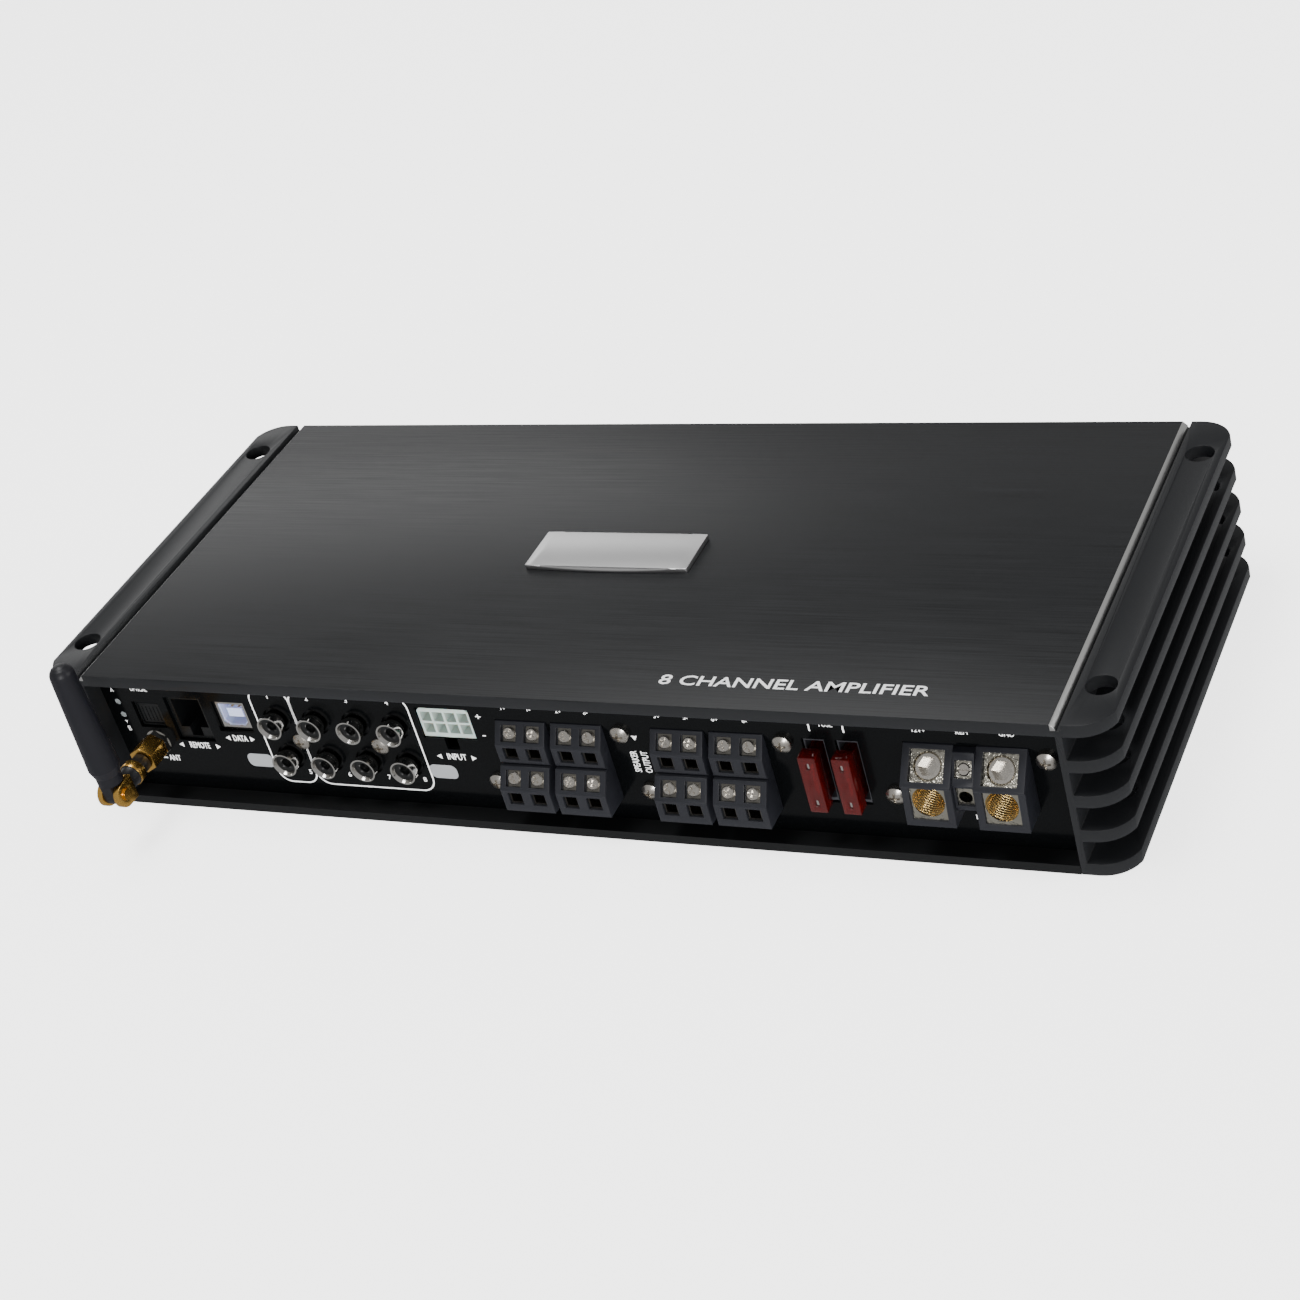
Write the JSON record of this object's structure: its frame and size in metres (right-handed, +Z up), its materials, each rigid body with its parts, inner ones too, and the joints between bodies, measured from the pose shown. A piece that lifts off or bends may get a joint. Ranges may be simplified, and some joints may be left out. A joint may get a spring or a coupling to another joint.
{
  "type": "car amplifier",
  "caption": "Low black car audio amplifier: finned heatsink case, name plate on top, front panel of jacks, screw terminals, fuses and a folding antenna.",
  "frame": {"origin": "centre of the four mounting holes, on the underside", "axes": "+X to the right along the width seen from the connector side, +Y from the connector panel to the plain rear, +Z up"},
  "size_m": [0.342, 0.1699, 0.0702],
  "materials": {
    "black_anodised": "brushed and anodised",
    "black_steel": "satin",
    "gloss_black_panel": "gloss",
    "satin_silver": "satin",
    "zinc_steel": "zinc plated",
    "black_plastic": "satin",
    "nickel": "bright",
    "pale_plastic": "satin",
    "clear_plastic": "gloss",
    "gold_plate": "gold plated",
    "grey_plastic": "satin",
    "red_plastic": "translucent",
    "black_rubber": "satin",
    "board": "solder resist",
    "ferrite": "coated",
    "enamelled_copper": "enamel",
    "capacitor_sleeve": "shrink sleeve",
    "plain_steel": "plain"
  },
  "bodies": {
    "chassis": {"heatsink": "black_anodised", "bottom_plate": "black_steel", "front_panel": "gloss_black_panel", "rear_panel": "black_steel", "badge": "satin_silver", "bottom_screws": "zinc_steel", "rear_panel_screws": "black_steel", "front_panel_screws": "zinc_steel", "rca_housings": "black_plastic", "rca_shells": "nickel", "rca_insulators": "black_plastic", "rca_contacts": "nickel", "usb_shell": "nickel", "usb_insert": "pale_plastic", "usb_contacts": "gold_plate", "remote_jack": "black_plastic", "remote_contacts": "gold_plate", "optical_port": "black_plastic", "status_leds": "clear_plastic", "input_header": "pale_plastic", "input_pins": "gold_plate", "speaker_block_left": "grey_plastic", "speaker_block_right": "grey_plastic", "speaker_clamps": "nickel", "speaker_screws": "zinc_steel", "power_block": "grey_plastic", "power_clamps": "gold_plate", "fuse_holder": "grey_plastic", "fuse_clips": "gold_plate", "antenna_jack": "nickel", "main_board": "board", "processor_board": "board", "processor_chips": "black_plastic", "input_riser": "board", "board_standoffs": "gold_plate", "board_screws": "zinc_steel", "transformer_core": "ferrite", "transformer_winding": "enamelled_copper", "inductor_cores": "ferrite", "inductor_windings": "enamelled_copper", "supply_capacitors": "capacitor_sleeve", "power_transistors": "black_plastic", "transistor_clamps": "plain_steel"},
    "antenna_nut": {"antenna_nut": "gold_plate"},
    "antenna_swivel": {"antenna_barrel": "gold_plate", "antenna_pin": "gold_plate"},
    "antenna_whip": {"antenna_whip": "black_rubber"},
    "fuse_a": {"fuse_a_body": "red_plastic", "fuse_a_blades": "nickel"},
    "fuse_b": {"fuse_b_body": "red_plastic", "fuse_b_blades": "nickel"},
    "supply_pad": {"supply_pad": "gold_plate"},
    "supply_screw": {"supply_screw": "zinc_steel"},
    "ground_pad": {"ground_pad": "gold_plate"},
    "ground_screw": {"ground_screw": "zinc_steel"},
    "remote_pad": {"remote_pad": "gold_plate"},
    "remote_screw": {"remote_screw": "zinc_steel"},
    "optical_shutter": {"optical_shutter": "black_plastic"}
  },
  "joints": [
    {"name": "antenna_nut_turn", "type": "hinge", "parent": "chassis", "child": "antenna_nut", "pos_m": [-0.1415, -0.0724, 0.0212], "axis": [0, 1, 0], "continuous": true},
    {"name": "antenna_swivel_turn", "type": "hinge", "parent": "chassis", "child": "antenna_swivel", "pos_m": [-0.1415, -0.0804, 0.0212], "axis": [0, 1, 0], "continuous": true},
    {"name": "antenna_whip_tilt", "type": "hinge", "parent": "antenna_swivel", "child": "antenna_whip", "pos_m": [-0.1415, -0.0924, 0.0212], "axis": [1, 0, 0], "range_deg": [0, 90]},
    {"name": "fuse_a_pull", "type": "slide", "parent": "chassis", "child": "fuse_a", "axis": [0, -1, 0], "range_m": [0, 0.022]},
    {"name": "fuse_b_pull", "type": "slide", "parent": "chassis", "child": "fuse_b", "axis": [0, -1, 0], "range_m": [0, 0.022]},
    {"name": "supply_pad_travel", "type": "slide", "parent": "chassis", "child": "supply_pad", "axis": [0, 0.7156, -0.6985], "range_m": [0, 0.005]},
    {"name": "supply_screw_turn", "type": "hinge", "parent": "supply_pad", "child": "supply_screw", "pos_m": [0.11805, -0.0708, 0.033], "axis": [0, 0.7156, -0.6985], "range_deg": [0, 1441]},
    {"name": "ground_pad_travel", "type": "slide", "parent": "chassis", "child": "ground_pad", "axis": [0, 0.7156, -0.6985], "range_m": [0, 0.005]},
    {"name": "ground_screw_turn", "type": "hinge", "parent": "ground_pad", "child": "ground_screw", "pos_m": [0.1386, -0.0708, 0.033], "axis": [0, 0.7156, -0.6985], "range_deg": [0, 1441]},
    {"name": "remote_pad_travel", "type": "slide", "parent": "chassis", "child": "remote_pad", "axis": [0, 0.8218, -0.5698], "range_m": [0, 0.002]},
    {"name": "remote_screw_turn", "type": "hinge", "parent": "remote_pad", "child": "remote_screw", "pos_m": [0.1283, -0.071, 0.03255], "axis": [0, 0.8218, -0.5698], "range_deg": [0, 1441]},
    {"name": "optical_shutter_tilt", "type": "hinge", "parent": "chassis", "child": "optical_shutter", "pos_m": [-0.1412, -0.0647, 0.03465], "axis": [1, 0, 0], "range_deg": [0, 85], "stiffness_Nm_per_rad": 0.0002, "springref_deg": -17.19}
  ],
  "couplings": [
    {"joint": "supply_screw_turn", "follows": "supply_pad_travel", "rad_per_m": 5026.5},
    {"joint": "ground_screw_turn", "follows": "ground_pad_travel", "rad_per_m": 5026.5},
    {"joint": "remote_screw_turn", "follows": "remote_pad_travel", "rad_per_m": 12566}
  ]
}
